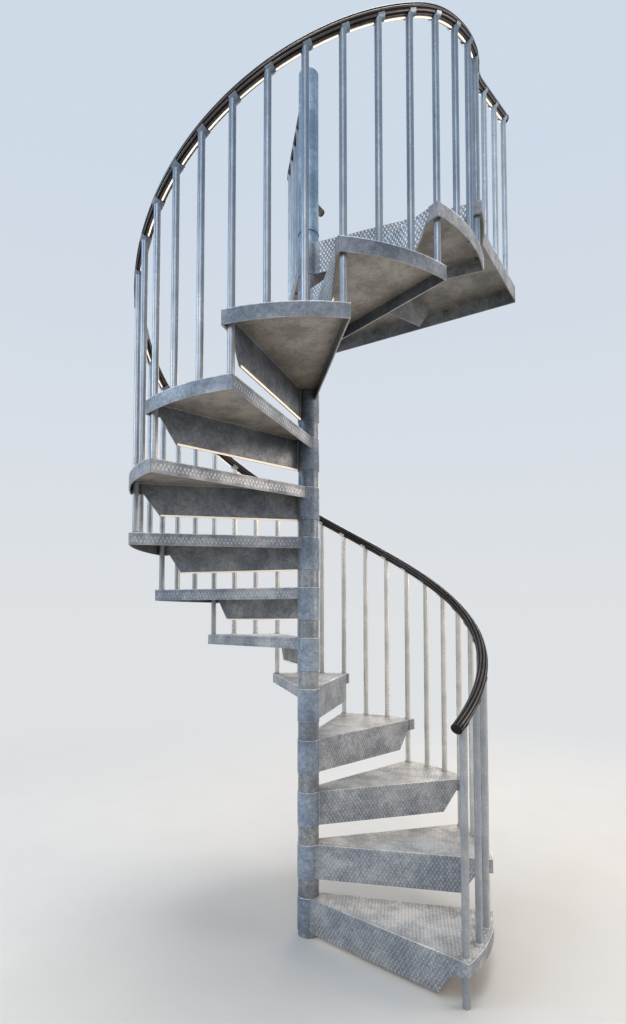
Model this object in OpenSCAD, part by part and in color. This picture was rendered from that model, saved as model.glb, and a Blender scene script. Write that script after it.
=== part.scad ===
// Galvanised spiral staircase: wedge treads on sleeves round a centre column, a landing, balusters and a
// helical handrail. Millimetres, +Z up. The origin is the centre of the column's foot at floor level and
// +Y points square to the upper floor's edge that the landing meets.

/* [Stair] */
// Radius of the stair to the outer face of the tread rims
stair_radius = 750; // [690:5:830]
// Height from one tread to the next
rise = 216; // [200:1:225]
// Height of the first tread above the floor
first_rise = 162; // [156:1:200]
// Number of treads below the landing
tread_count = 13; // [11:1:14]
// Plan angle from one tread's nose to the next
tread_turn = 29.2; // [27.5:0.1:30.5]
// Plan angle of the landing's front edge
landing_angle = 9.1; // [6:0.1:12]

/* [Column] */
// Outer diameter of the spacer sleeves and the newel
sleeve_d = 88.9; // [86:0.1:92]
// Outer diameter of the hubs that carry the treads
hub_d = 94; // [92:0.1:98]
// Wall of the sleeves
sleeve_wall = 5; // [4:0.1:5.5]
// Outer diameter of the column tube inside the sleeves
column_d = 76.1; // [72:0.1:77.5]
// Wall of the column tube
column_wall = 3.6; // [3:0.1:6]
// Height of the newel above the landing
newel_h = 800; // [770:5:900]
// Height of the domed cap on the newel
cap_h = 18; // [12:1:30]
// Thickness of the plate that closes the column's foot
foot_t = 12; // [8:1:18]

/* [Treads] */
// Thickness of the folded tread plate
plate_t = 5; // [4:0.5:7]
// Depth of the front flange and height of the hub
front_depth = 140; // [125:1:150]
// Depth of the rear flange and of the curved rim
rim_depth = 50; // [42:1:60]
// Plan angle by which a tread runs under the next one
overlap_angle = 2.9; // [2.8:0.05:3.3]
// Sideways set of the front and rear edges at the hub
edge_set = 26; // [18:1:32]
// Length of the front flange that stays shallow at the rim
shallow_run = 52; // [40:1:70]
// Length of the slanting cut in the front flange
slant_run = 66; // [50:1:90]
// Length of the rim's bent end over the front flange
lug_run = 42; // [36:1:50]

/* [Landing] */
// Distance from the stair circle in to the landing's straight side
landing_inset = 60; // [50:1:70]
// Distance from the column's axis to the landing's far side
landing_left = 450; // [420:5:520]
// Distance from the column's axis to the upper floor's edge
landing_reach = 817; // [780:1:880]
// Depth of the landing's edge flanges
landing_edge_depth = 70; // [62:1:78]
// Plan angle of the landing's edge over the well
well_angle = 135.5; // [130:0.5:140]
// Plan angle of the rib under the landing
rib_angle = 70; // [60:1:80]
// Radius of the bolt holes in the floor flange
bolt_hole_r = 9; // [7:0.5:9]
// Spacing of the outer pair of bolt holes
outer_bolts = 980; // [900:10:1000]
// Spacing of the inner pair of bolt holes
inner_bolts = 420; // [300:10:600]

/* [Balustrade] */
// Diameter of a baluster
baluster_d = 25; // [21:0.5:26]
// Diameter of the first baluster, which stands on the floor
first_baluster_d = 27.5; // [24:0.1:28]
// Distance from the rim's outer face to the balusters' axes
baluster_inset = 25; // [23:1:30]
// Height of the handrail's centre above the line of the upper noses
rail_height = 705; // [700:5:950]
// Height of the handrail's centre above the first tread's nose
rail_height_low = 790; // [700:5:950]
// Height of the well guard's rail above the landing
guard_height = 780; // [700:5:950]
// Diameter of the handrail
rail_d = 42; // [36:1:48]
// Length of handrail past the first baluster
rail_overhang = 34; // [20:1:60]
// Gap between balusters on the landing's straight side
side_gap = 163; // [110:1:170]
// Gap between balusters of the well guard
guard_gap = 100; // [90:1:115]
// Height of the light strips behind the front flanges
strip_w = 6; // [5:0.5:12]
// Thickness of the light strips behind the front flanges
strip_t = 4; // [3:0.5:8]
// Width of the light strips under the handrail
rail_strip_w = 5; // [4:0.5:10]
// Thickness of the light strips under the handrail
rail_strip_t = 3; // [2:0.5:5]

/* [Hidden] */
$fn = 48;
cut = 1;                                    // overrun of a cutting tool
slip = 0.3;                                 // gap between seated pieces
half_turn = 180;
sleeve_r = sleeve_d / 2;
hub_r = hub_d / 2;
bore_r = sleeve_r - sleeve_wall;
column_r = column_d / 2;
first_angle = landing_angle - tread_count * tread_turn;
tread_span = tread_turn + overlap_angle;
landing_z = first_rise + tread_count * rise;
newel_top = landing_z + newel_h;
hub_weld = 2;                               // bite of a tread's plates into the hub's wall
hub_reach = sqrt(pow(hub_r - hub_weld, 2) - edge_set * edge_set);
depth_step = 1;                             // what the depths of plates that meet differ by
end_depth = rim_depth + depth_step;         // depth of the front flange at its shallow end
lug_depth = rim_depth + 2 * depth_step;
rear_depth = rim_depth - depth_step;
weld_set = 2;                               // how far plates end inside the flanges they are welded to
rim_bite = 3;                               // bite of the flanges' ends into the rim

// Balusters stand three to a tread, and the first of each three joins two treads
balusters_per_tread = 3;
baluster_turn = tread_turn / balusters_per_tread;
baluster_radius = stair_radius - baluster_inset;
corner_set = overlap_angle / 2;
first_turn = 0.3;                           // the thicker first baluster stands a little further in
first_set = corner_set + first_turn;
hole_gap = 0.4;
rail_r = rail_d / 2;
rail_set = 5;                               // from the balusters' axes in to the rail's centre
seat_r = rail_r + 2 * slip;                 // inner radius of the saddles that carry the rail
saddle_t = 3;
saddle_l = 28;
saddle_share = 0.46;                        // height of a saddle's edges below the rail's centre
rail_radius = baluster_radius - rail_set;
rail_flat_share = 0.955;                    // height of the rail's flat underside, as a share of its radius
rail_sides = 14;
rail_step_angle = 4.2;                      // from ring to ring
ease_angle = 8;                             // half the plan angle over which the rail's climb lessens
ease_at_angle = 27.7;                       // where it lessens, before the landing's front edge
climb_share = 0.6;                          // the rail's climb from there on
nut_r = 11;
nut_h = 10;
guard_end = 37;                             // from the floor's edge back to the guard rail's end
rib_end = 90;
stud_d = 12;                                // threaded end of a corner baluster, through its lower tread
stud_tail = 3;
fold = 5;                                   // where a landing flange stops short of a corner

// Landing in plan: its arc ends at corner k, the upper floor's edge runs from a to b, and the edge over the
// well from c to the hub
landing_right = stair_radius - landing_inset;
landing_mid = (landing_right - landing_left) / 2;
rim_end_angle = acos(landing_right / stair_radius);
rim_more_angle = 0.6;                       // what the arc's rim runs on past corner k
corner_k = stair_radius * [cos(rim_end_angle), sin(rim_end_angle)];
corner_a = [landing_right, landing_reach];
corner_b = [-landing_left, landing_reach];
corner_c = [-landing_left, -landing_left * tan(well_angle)];
well_hub = at(hub_reach, well_angle) + at(edge_set, well_angle + half_turn / 2);
side_dir = (corner_a - corner_k) / norm(corner_a - corner_k);
side_in = [-side_dir.y, side_dir.x];
guard_dir = (corner_c - well_hub) / norm(corner_c - well_hub);
guard_in = [guard_dir.y, -guard_dir.x];
first_side_baluster = 120;
side_balusters = 3;
side_rail_tail = 44;

rail_pieces = 6;

function rail_name(i) = str("handrail_", i);
function tread_name(k) = k < 10 ? str("tread_0", k) : str("tread_", k);
function tread_angle(k) = first_angle + (k - 1) * tread_turn;
function tread_z(k) = first_rise + (k - 1) * rise;
function at(radius, angle) = radius * [cos(angle), sin(angle)];

// Height of the rail's centre: it climbs with the noses, and less steeply from the last tread on
rail_climb = (tread_count * rise + rail_height - rail_height_low) / (tread_count * tread_turn);
function rail_z(angle) =
    let (left = landing_angle - angle, s = ease_at_angle + ease_angle - left)
    landing_z + rail_height - rail_climb * (s <= 0 ? left
        : s >= 2 * ease_angle ? ease_at_angle - climb_share * (ease_at_angle - left)
        : left + (1 - climb_share) * s * s / (4 * ease_angle));
function rail_slope(angle) =
    let (d = 1)
    atan2(rail_z(angle + d) - rail_z(angle - d), rail_radius * 2 * d * PI / half_turn);

module galvanised() { color([0.66, 0.69, 0.71]) children(); }

// Plate standing on the plan line from p to q, its thickness on the left of that line
module plate_along(p, q, thickness, depth) {
    dir = (q - p) / norm(q - p);
    side = [-dir.y, dir.x] * thickness;
    translate([0, 0, -depth]) linear_extrude(depth) polygon([p, q, q + side, p + side]);
}

// Tube of the sleeves' size, from z = 0 up
module sleeve(height) {
    difference() {
        cylinder(h = height, r = sleeve_r);
        translate([0, 0, -cut]) cylinder(h = height + 2 * cut, r = bore_r);
    }
}

// Point past the stair circle, on the line of an edge from the hub
function past(from, to) = from + (to - from) * 1.3;

// Plan of a tread between its nose edge and its rear edge, both drawn from the hub outwards. The edges
// are set in a little, so that the plate and the rim end inside the flanges' thickness
module tread_plan(nose, rear, middle) {
    nose_in = inset(nose, 1);
    rear_in = inset(rear, -1);
    polygon([[0, 0], nose_in[0], past(nose_in[0], nose_in[1]), at(2 * stair_radius, middle),
             past(rear_in[0], rear_in[1]), rear_in[0]]);
}
function inset(edge, side) =
    let (dir = (edge[1] - edge[0]) / norm(edge[1] - edge[0]), shift = [-dir.y, dir.x] * side * weld_set)
    [edge[0] + shift, edge[1] + shift];

// Front flange under an edge from the hub to the rim: shallow at the rim, deep from the slanting cut in
module front_flange(from, to) {
    run = norm(to - from) - rim_bite;
    deep_end = run - shallow_run - slant_run;
    translate([from.x, from.y, 0]) rotate([0, 0, atan2(to.y - from.y, to.x - from.x)])
        rotate([90, 0, 0]) translate([0, 0, -plate_t]) linear_extrude(plate_t)
            polygon([[0, 0], [run, 0], [run, -end_depth], [run - shallow_run, -end_depth],
                     [deep_end, -front_depth], [0, -front_depth]]);
}

// The rim's end, bent round the corner over the front flange
module corner_lug(from, to) {
    dir = (to - from) / norm(to - from);
    corner = to + [-dir.y, dir.x] * rim_bite - dir * rim_bite / 4;
    plate_along(corner, corner - dir * lug_run, plate_t + rim_bite, lug_depth);
}

// Rim between two edges that run from the hub to the stair circle
module curved_rim(nose, rear, middle) {
    translate([0, 0, -rim_depth]) linear_extrude(rim_depth) intersection() {
        difference() {
            circle(r = stair_radius, $fn = 180);
            circle(r = stair_radius - plate_t, $fn = 180);
        }
        tread_plan(nose, rear, middle);
    }
}

module column_hole() {
    translate([0, 0, -front_depth - cut]) cylinder(h = front_depth + 2 * cut, r = bore_r);
}

module baluster_hole(x, y, d) {
    translate([x, y, -plate_t - cut]) cylinder(h = plate_t + 2 * cut, r = d / 2 + hole_gap);
}

// One tread: top plate, front and rear flanges, curved rim and hub, welded into one piece
module tread(k) {
    nose_hub = [hub_reach, -edge_set];
    nose_rim = [stair_radius, 0];
    rear_hub = at(hub_reach, tread_span) + at(edge_set, tread_span + half_turn / 2);
    rear_rim = at(stair_radius, tread_span);
    nose_hole_d = k == 1 ? first_baluster_d : baluster_d;
    nose_set = k == 1 ? first_set : corner_set;
    galvanised() translate([0, 0, tread_z(k)]) rotate([0, 0, tread_angle(k)]) difference() {
        union() {
            translate([0, 0, -plate_t]) linear_extrude(plate_t) intersection() {
                circle(r = stair_radius - weld_set, $fn = 180);
                tread_plan([nose_hub, nose_rim], [rear_hub, rear_rim], tread_span / 2);
            }
            front_flange(nose_hub, nose_rim);
            plate_along(rear_rim - at(rim_bite, tread_span), rear_hub, plate_t, rear_depth);
            curved_rim([nose_hub, nose_rim], [rear_hub, rear_rim], tread_span / 2);
            corner_lug(nose_hub, nose_rim);
            translate([0, 0, -front_depth]) cylinder(h = front_depth, r = hub_r);
        }
        column_hole();
        for (hole = [[nose_set, nose_hole_d], [tread_turn + corner_set, stud_d]])
            baluster_hole(baluster_radius * cos(hole[0]), baluster_radius * sin(hole[0]), hole[1]);
    }
}

module landing() {
    nose_hub = at(hub_reach, landing_angle) + at(edge_set, landing_angle - half_turn / 2);
    nose_rim = at(stair_radius, landing_angle);
    rear = [[0, 0], at(stair_radius, rim_end_angle + rim_more_angle)];
    corner = at(baluster_radius, landing_angle + corner_set);
    galvanised() translate([0, 0, landing_z]) difference() {
        union() {
            translate([0, 0, -plate_t]) linear_extrude(plate_t) {
                intersection() {
                    circle(r = stair_radius - weld_set, $fn = 180);
                    tread_plan([nose_hub, nose_rim], rear, (landing_angle + rim_end_angle) / 2);
                }
                offset(delta = -weld_set)
                    polygon([[0, 0], corner_k - side_dir * first_side_baluster, corner_a, corner_b, corner_c,
                             well_hub]);
            }
            front_flange(nose_hub, nose_rim);
            corner_lug(nose_hub, nose_rim);
            curved_rim([nose_hub, nose_rim], rear, (landing_angle + rim_end_angle) / 2);
            plate_along(corner_k - side_dir * fold, corner_a - side_dir * fold / 2, plate_t,
                        landing_edge_depth);
            plate_along(corner_a, corner_b, plate_t, landing_edge_depth + 2 * plate_t);
            plate_along(corner_b - side_dir * fold / 2, corner_c, plate_t, landing_edge_depth + depth_step);
            plate_along(corner_c, well_hub, plate_t, landing_edge_depth - depth_step);
            translate([0, 0, -front_depth]) cylinder(h = front_depth, r = hub_r);
        }
        column_hole();
        baluster_hole(corner.x, corner.y, baluster_d);
        for (x = [-outer_bolts, -inner_bolts, inner_bolts, outer_bolts] / 2)
            translate([landing_mid + x, landing_reach + cut, -rim_depth / 2 - plate_t]) rotate([90, 0, 0])
                cylinder(h = plate_t + 2 * cut, r = bolt_hole_r);
    }
}

// Rib under the landing plate, deep at the hub and cut back at its outer end
module landing_rib() {
    reach = landing_reach / sin(rib_angle) - rib_end - hub_r;
    galvanised() translate([0, 0, landing_z - plate_t]) rotate([0, 0, rib_angle])
        translate([hub_r, plate_t / 2, 0]) rotate([90, 0, 0]) linear_extrude(plate_t)
            polygon([[0, 0], [reach, 0], [reach, -rim_depth + plate_t],
                     [reach - slant_run, plate_t - front_depth], [0, plate_t - front_depth]]);
}

module column_foot() {
    color([0.55, 0.57, 0.58]) cylinder(h = foot_t, r = column_r);
}

module column_tube() {
    galvanised() translate([0, 0, foot_t]) difference() {
        cylinder(h = newel_top - foot_t, r = column_r);
        translate([0, 0, -cut]) cylinder(h = newel_top - foot_t + 2 * cut, r = column_r - column_wall);
    }
}

// Sleeves that hold the hubs apart, the shortest one under the first tread
module spacer_sleeves() {
    galvanised() {
        sleeve(first_rise - front_depth);
        for (k = [1:tread_count]) translate([0, 0, tread_z(k)]) sleeve(rise - front_depth);
    }
}

module newel_sleeve() {
    galvanised() translate([0, 0, landing_z]) sleeve(newel_h);
}

module newel_cap() {
    ball_r = (sleeve_r * sleeve_r + cap_h * cap_h) / (2 * cap_h);
    galvanised() translate([0, 0, newel_top]) intersection() {
        translate([0, 0, cap_h - ball_r]) sphere(r = ball_r, $fn = 96);
        cylinder(h = cap_h, r = sleeve_r);
    }
}

// Baluster at plan point p, from foot_z to a saddle that cups the rail. The rail's centre is at top_z, set
// off against plan direction facing, and the rail climbs at the given slope
module baluster(p, facing, foot_z, top_z, d, slope) {
    translate([p.x, p.y, 0]) rotate([0, 0, facing]) difference() {
        union() {
            translate([0, 0, foot_z]) cylinder(h = top_z - foot_z, r = d / 2);
            translate([-rail_set, 0, top_z]) rotate([slope, 0, 0]) rotate([90, 0, 0])
                translate([0, 0, -saddle_l / 2]) linear_extrude(saddle_l) difference() {
                    circle(r = seat_r + saddle_t);
                    translate([-rail_d, -seat_r * saddle_share]) square([2 * rail_d, 2 * rail_d]);
                }
        }
        translate([-rail_set, 0, top_z]) rotate([slope, 0, 0]) rotate([90, 0, 0])
            translate([0, 0, -saddle_l]) cylinder(h = 2 * saddle_l, r = seat_r);
    }
}

module stair_baluster(turn, foot_z, d) {
    baluster(at(baluster_radius, turn), turn, foot_z, rail_z(turn), d, rail_slope(turn));
}

module first_baluster() {
    galvanised() stair_baluster(first_angle + first_set, 0, first_baluster_d);
}

// Balusters through the nose corner of one tread, bolted down to the rear corner of the tread below
module corner_balusters() {
    tail = plate_t + nut_h + stud_tail;
    galvanised() for (k = [2:tread_count + 1]) {
        p = at(baluster_radius, tread_angle(k) + corner_set);
        stair_baluster(tread_angle(k) + corner_set, tread_z(k - 1), baluster_d);
        translate([p.x, p.y, tread_z(k - 1) - tail]) cylinder(h = tail + stud_d, r = stud_d / 2);
    }
}

// Nuts on the corner balusters' threaded ends, under the lower tread
module corner_nuts() {
    galvanised() for (k = [2:tread_count + 1]) {
        p = at(baluster_radius, tread_angle(k) + corner_set);
        translate([p.x, p.y, tread_z(k - 1) - plate_t - nut_h]) difference() {
            cylinder(h = nut_h, r = nut_r, $fn = 6);
            translate([0, 0, -cut]) cylinder(h = nut_h + 2 * cut, r = stud_d / 2 + slip);
        }
    }
}

// Balusters that stand on the treads from first to last, between the corner ones
module middle_balusters(first, last) {
    galvanised() for (k = [first:last], i = [1:balusters_per_tread - 1])
        stair_baluster(tread_angle(k) + corner_set + i * baluster_turn, tread_z(k), baluster_d);
}

module lower_balusters() { middle_balusters(1, floor(tread_count / 2)); }
module upper_balusters() { middle_balusters(floor(tread_count / 2) + 1, tread_count); }

module landing_balusters() {
    galvanised() {
        stair_baluster(landing_angle + corner_set + baluster_turn, landing_z, baluster_d);
        for (i = [0:side_balusters - 1]) {
            run = first_side_baluster + i * side_gap;
            baluster(corner_k + side_dir * run + side_in * baluster_inset, atan2(-side_in.y, -side_in.x),
                     landing_z, side_rail_point(run).z, baluster_d, atan(landing_climb));
        }
    }
}

// Lines inset from the landing's edges over the well and on its far side meet at such a point
function well_corner(inset) =
    let (from = well_hub + guard_in * inset, run = (inset - landing_left - from.x) / guard_dir.x)
    from + guard_dir * run;
guard_corner = well_corner(baluster_inset);
guard_run = norm(guard_corner - well_hub - guard_in * baluster_inset);
guard_rail_z = landing_z + guard_height;

// Balusters along both edges, half a gap from their corner on
module well_guard_balusters() {
    galvanised() {
        for (run = [guard_gap / 2:guard_gap:guard_run - sleeve_r - baluster_d])
            baluster(guard_corner - guard_dir * run, atan2(-guard_in.y, -guard_in.x), landing_z,
                     guard_rail_z, baluster_d, 0);
        for (run = [guard_gap / 2:guard_gap:landing_reach - guard_end - baluster_d - guard_corner.y])
            baluster(guard_corner + side_dir * run, half_turn, landing_z, guard_rail_z, baluster_d, 0);
    }
}

// Handrail section, [inwards, up]: round, with a flat underside
flat_angle = asin(rail_flat_share);
rail_section = [for (i = [0:rail_sides - 1])
    let (a = -flat_angle + i * (half_turn + 2 * flat_angle) / (rail_sides - 1))
    rail_r * [cos(a), sin(a)]];
strip_section = [for (c = [[-1, 0], [1, 0], [1, 1], [-1, 1]])
    [c.x * rail_strip_w / 2, -rail_r * rail_flat_share - slip - c.y * rail_strip_t]];

// Plan line of the rail on the landing's straight side, and where the stair circle meets it
side_rail_start = corner_k + side_in * (baluster_inset + rail_set);
side_meet =
    let (b = side_rail_start * side_dir, c = side_rail_start * side_rail_start - rail_radius * rail_radius)
    -b + sqrt(b * b - c);
meet_point = side_rail_start + side_dir * side_meet;
meet_angle = atan2(meet_point.y, meet_point.x);
bend_angle = 7;
bend_run = 85;
bend_steps = 6;

function helix_start() = first_angle + corner_set - rail_overhang / rail_radius * half_turn / PI;
helix_steps = ceil((meet_angle - bend_angle - helix_start()) / rail_step_angle);
bend_from = at(rail_radius, meet_angle - bend_angle);
bend_to = meet_point + side_dir * bend_run;
landing_climb = climb_share * rail_climb * half_turn / (PI * rail_radius);
side_rail_run = first_side_baluster + (side_balusters - 1) * side_gap + side_rail_tail;

function rail_point(a) = [rail_radius * cos(a), rail_radius * sin(a), rail_z(a)];
helix_turn = meet_angle - bend_angle - helix_start();
function helix_point(i) = rail_point(helix_start() + i * helix_turn / helix_steps);
function curve(from, via, to, t) = pow(1 - t, 2) * from + 2 * t * (1 - t) * via + t * t * to;
function bend_plan(i) = curve(bend_from, meet_point, bend_to, i / bend_steps);
function bend_length(i) = i == 0 ? 0 : bend_length(i - 1) + norm(bend_plan(i) - bend_plan(i - 1));
function bend_point(i) =
    let (p = bend_plan(i))
    [p.x, p.y, rail_z(meet_angle - bend_angle) + landing_climb * bend_length(i)];

// Point of the rail on the landing's straight side, so far past corner k
function side_rail_point(run) =
    let (p = side_rail_start + side_dir * run)
    [p.x, p.y, bend_point(bend_steps).z + landing_climb * norm(p - bend_to)];
rail_path = concat(
    [for (i = [0:helix_steps]) helix_point(i)],
    [for (i = [1:bend_steps]) bend_point(i)],
    [side_rail_point(side_rail_run)]);

function along(path, i) =
    let (d = path[min(i + 1, len(path) - 1)] - path[max(i - 1, 0)]) d / norm(d);
function ring(path, section, i) =
    let (t = along(path, i), flat = norm([t.x, t.y]), inward = [-t.y, t.x, 0] / flat, up = cross(t, inward))
    [for (s = section) path[i] + inward * s.x + up * s.y];

// Solid swept along a path from its point first to its point last, its section given as [inwards, up]
module sweep(path, section, first, last) {
    n = len(section);
    m = last - first + 1;
    points = [for (i = [first:last]) each ring(path, section, i)];
    sides = [for (i = [0:m - 2], j = [0:n - 1]) each
        let (a = i * n + j, b = i * n + (j + 1) % n) [[a, b, b + n], [a, b + n, a + n]]];
    start_cap = [for (j = [0:n - 1]) n - 1 - j];
    end_cap = [for (j = [0:n - 1]) (m - 1) * n + j];
    polyhedron(points = points, faces = concat(sides, [start_cap, end_cap]), convexity = 10);
}

// Stretch i of the handrail; the last one runs over the landing
function cut_at(i) = i < rail_pieces ? floor(i * helix_steps / (rail_pieces - 1)) : len(rail_path) - 1;
module handrail(i) {
    color([0.16, 0.15, 0.15])
        sweep(rail_path, rail_section, cut_at(i - 1), cut_at(i));
}

// Light strips under the handrail, one from each saddle to the next
strip_cuts = 3;
strip_gap = 1;                              // from a strip's end to a saddle or baluster
strip_start = saddle_l / 2 + strip_gap;     // from the axis of the baluster below it
function strip_stop(slope) =
    baluster_d / 2 + strip_gap + (rail_r * rail_flat_share + slip + rail_strip_t) * sin(slope);
module handrail_light_strip() {
    to_turn = half_turn / (PI * rail_radius);
    turns = concat([first_angle + first_set], [for (i = [1:balusters_per_tread * tread_count + 1])
        first_angle + corner_set + i * baluster_turn]);
    color([1, 0.93, 0.8]) {
        for (i = [0:len(turns) - 2]) {
            from = turns[i] + strip_start * to_turn;
            to = turns[i + 1] - strip_stop(rail_slope(turns[i + 1])) * to_turn;
            sweep([for (j = [0:strip_cuts]) rail_point(from + j * (to - from) / strip_cuts)],
                  strip_section, 0, strip_cuts);
        }
        for (i = [0:side_balusters - 2])
            sweep([side_rail_point(first_side_baluster + i * side_gap + strip_start),
                   side_rail_point(first_side_baluster + (i + 1) * side_gap
                                   - strip_stop(atan(landing_climb)))], strip_section, 0, 1);
    }
}

// Rail of the well guard: from the newel along the well's edge, round the corner and on to the upper floor
module well_guard_rail() {
    inset = baluster_inset + rail_set;
    corner = well_corner(inset);
    run = guard_gap / 3;
    start = well_hub + guard_in * inset;
    line = concat([start],
        [for (i = [0:bend_steps])
            curve(corner - guard_dir * run, corner, corner + side_dir * run, i / bend_steps)],
        [[corner.x, landing_reach - guard_end]]);
    color([0.16, 0.15, 0.15]) difference() {
        sweep([for (p = line) [p.x, p.y, guard_rail_z]], rail_section, 0, len(line) - 1);
        translate([0, 0, landing_z]) cylinder(h = newel_h, r = sleeve_r + slip);
    }
}

// Light strips on the back of the front flanges, along their lower edges
module tread_light_strips() {
    nose_hub = [hub_reach, -edge_set];
    nose_rim = [stair_radius, 0];
    run = norm(nose_rim - nose_hub);
    turn = atan2(nose_rim.y - nose_hub.y, nose_rim.x - nose_hub.x);
    strip_start = sleeve_wall * 2;
    color([1, 0.93, 0.8]) for (k = [1:tread_count])
        translate([0, 0, tread_z(k) - front_depth]) rotate([0, 0, tread_angle(k)])
            translate([nose_hub.x, nose_hub.y, 0]) rotate([0, 0, turn])
                translate([strip_start, plate_t + slip, 0])
                    cube([run - shallow_run - slant_run - strip_start - strip_w, strip_t, strip_w]);
}

column_foot();
column_tube();
spacer_sleeves();
newel_sleeve();
newel_cap();
for (k = [1:tread_count]) tread(k);
landing();
landing_rib();
first_baluster();
corner_balusters();
corner_nuts();
lower_balusters();
upper_balusters();
landing_balusters();
well_guard_balusters();
for (i = [1:rail_pieces]) handrail(i);
well_guard_rail();
tread_light_strips();
handrail_light_strip();
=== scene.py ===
import bpy, math
from mathutils import Matrix, Vector, kdtree, noise


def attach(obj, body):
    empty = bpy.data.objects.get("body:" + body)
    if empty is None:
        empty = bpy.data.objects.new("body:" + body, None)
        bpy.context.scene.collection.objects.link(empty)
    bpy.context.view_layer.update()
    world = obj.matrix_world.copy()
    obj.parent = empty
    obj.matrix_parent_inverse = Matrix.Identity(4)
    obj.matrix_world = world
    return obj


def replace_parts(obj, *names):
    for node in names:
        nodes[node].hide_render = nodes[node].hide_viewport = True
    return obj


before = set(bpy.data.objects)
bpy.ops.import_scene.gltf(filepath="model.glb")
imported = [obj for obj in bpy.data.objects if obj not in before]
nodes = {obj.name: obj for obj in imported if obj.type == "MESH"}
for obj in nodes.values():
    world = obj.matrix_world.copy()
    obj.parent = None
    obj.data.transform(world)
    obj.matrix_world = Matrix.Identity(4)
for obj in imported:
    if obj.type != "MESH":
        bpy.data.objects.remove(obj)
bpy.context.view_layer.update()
print("frame loaded")

# Sizes in metres and degrees, as in the part's source
stair = {"radius": 0.750, "rise": 0.216, "firstRise": 0.162, "treads": 13, "turn": 29.2, "landingAngle": 9.1,
         "sleeveR": 0.04445, "hubR": 0.047, "cornerSet": 1.45, "firstSet": 1.75}
tread = {"span": 32.1, "edgeSet": 0.026, "weld": 0.002, "plateT": 0.005, "depth": 0.140, "rimDepth": 0.050,
         "shallowRun": 0.052, "slantRun": 0.066, "lugRun": 0.042}
landing = {"left": 0.450, "right": 0.690, "reach": 0.817, "wellAngle": 135.5,
           "boltsAt": (-0.37, -0.09, 0.33, 0.61), "boltDrop": 0.030}
posts = {"radius": 0.725, "inset": 0.025, "r": 0.0125, "firstR": 0.01375, "firstSide": 0.120,
         "sideGap": 0.163, "sides": 3, "guardGap": 0.100}
rail = {"height": 0.705, "heightLow": 0.790, "guardHeight": 0.780, "set": 0.005, "overhang": 0.034,
        "ease": 8.0, "easeAt": 27.7, "climbShare": 0.6, "bendAngle": 7.0, "bendRun": 0.085, "tail": 0.044,
        "guardEnd": 0.037}

firstAngle = stair["landingAngle"] - stair["treads"] * stair["turn"]
landingZ = stair["firstRise"] + stair["treads"] * stair["rise"]
hubReach = math.sqrt((stair["hubR"] - tread["weld"]) ** 2 - tread["edgeSet"] ** 2)
railRadius = posts["radius"] - rail["set"]
railInset = posts["inset"] + rail["set"]
railRise = stair["treads"] * stair["rise"] + rail["height"] - rail["heightLow"]
railClimb = railRise / (stair["treads"] * stair["turn"])
rising = Vector((0, 0, 1))


def at(radius, angle):
    return Vector((radius * math.cos(math.radians(angle)), radius * math.sin(math.radians(angle)), 0))


def treadAngle(k):
    return firstAngle + (k - 1) * stair["turn"]


def treadZ(k):
    return stair["firstRise"] + (k - 1) * stair["rise"]


def treadPlace(k):
    return Matrix.Translation((0, 0, treadZ(k))) @ Matrix.Rotation(math.radians(treadAngle(k)), 4, "Z")


def railZ(angle):
    left = stair["landingAngle"] - angle
    s = rail["easeAt"] + rail["ease"] - left
    if s >= 2 * rail["ease"]:
        left = rail["easeAt"] - rail["climbShare"] * (rail["easeAt"] - left)
    elif s > 0:
        left += (1 - rail["climbShare"]) * s * s / (4 * rail["ease"])
    return landingZ + rail["height"] - railClimb * left


# The landing's plan, and the lines of the guard over the well
cornerK = Vector((landing["right"], math.sqrt(stair["radius"] ** 2 - landing["right"] ** 2), 0))
cornerC = Vector((-landing["left"], -landing["left"] * math.tan(math.radians(landing["wellAngle"])), 0))
wellHub = at(hubReach, landing["wellAngle"]) + at(tread["edgeSet"], landing["wellAngle"] + 90)
guardDir = (cornerC - wellHub).normalized()
guardIn = Vector((guardDir.y, -guardDir.x, 0))


def wellCorner(inset):
    start = wellHub + guardIn * inset
    return start + guardDir * ((inset - landing["left"] - start.x) / guardDir.x)


def guardPosts():
    corner, gap, inset = wellCorner(posts["inset"]), posts["guardGap"], posts["inset"]
    run = (corner - wellHub - guardIn * inset).length - stair["sleeveR"] - 2 * posts["r"]
    side = landing["reach"] - rail["guardEnd"] - 2 * posts["r"] - corner.y
    return ([corner - guardDir * (gap * (i + 0.5)) for i in range(int(run / gap + 0.5))]
            + [corner + Vector((0, gap * (i + 0.5), 0)) for i in range(int(side / gap + 0.5))])


def sidePosts():
    return [cornerK + Vector((-posts["inset"], posts["firstSide"] + i * posts["sideGap"], 0))
            for i in range(posts["sides"])]


# Gives a finished piece its name, material and place on the body
def settle(made, name, material, smooth=False):
    made.name = made.data.name = name
    made.data.materials.clear()
    made.data.materials.append(material)
    made.data.polygons.foreach_set("use_smooth", [smooth] * len(made.data.polygons))
    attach(made, "root")
    return made


def pick(made):
    bpy.ops.object.select_all(action="DESELECT")
    made.select_set(True)
    bpy.context.view_layer.objects.active = made


def place(data):
    made = bpy.data.objects.new(data.name, data)
    bpy.context.scene.collection.objects.link(made)
    return made


# Merges doubles and turns the faces outwards
def clean(made):
    pick(made)
    bpy.ops.object.mode_set(mode="EDIT")
    bpy.ops.mesh.select_all(action="SELECT")
    bpy.ops.mesh.remove_doubles(threshold=0.00001)
    bpy.ops.mesh.normals_make_consistent(inside=False)
    bpy.ops.object.mode_set(mode="OBJECT")
    return made


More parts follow.
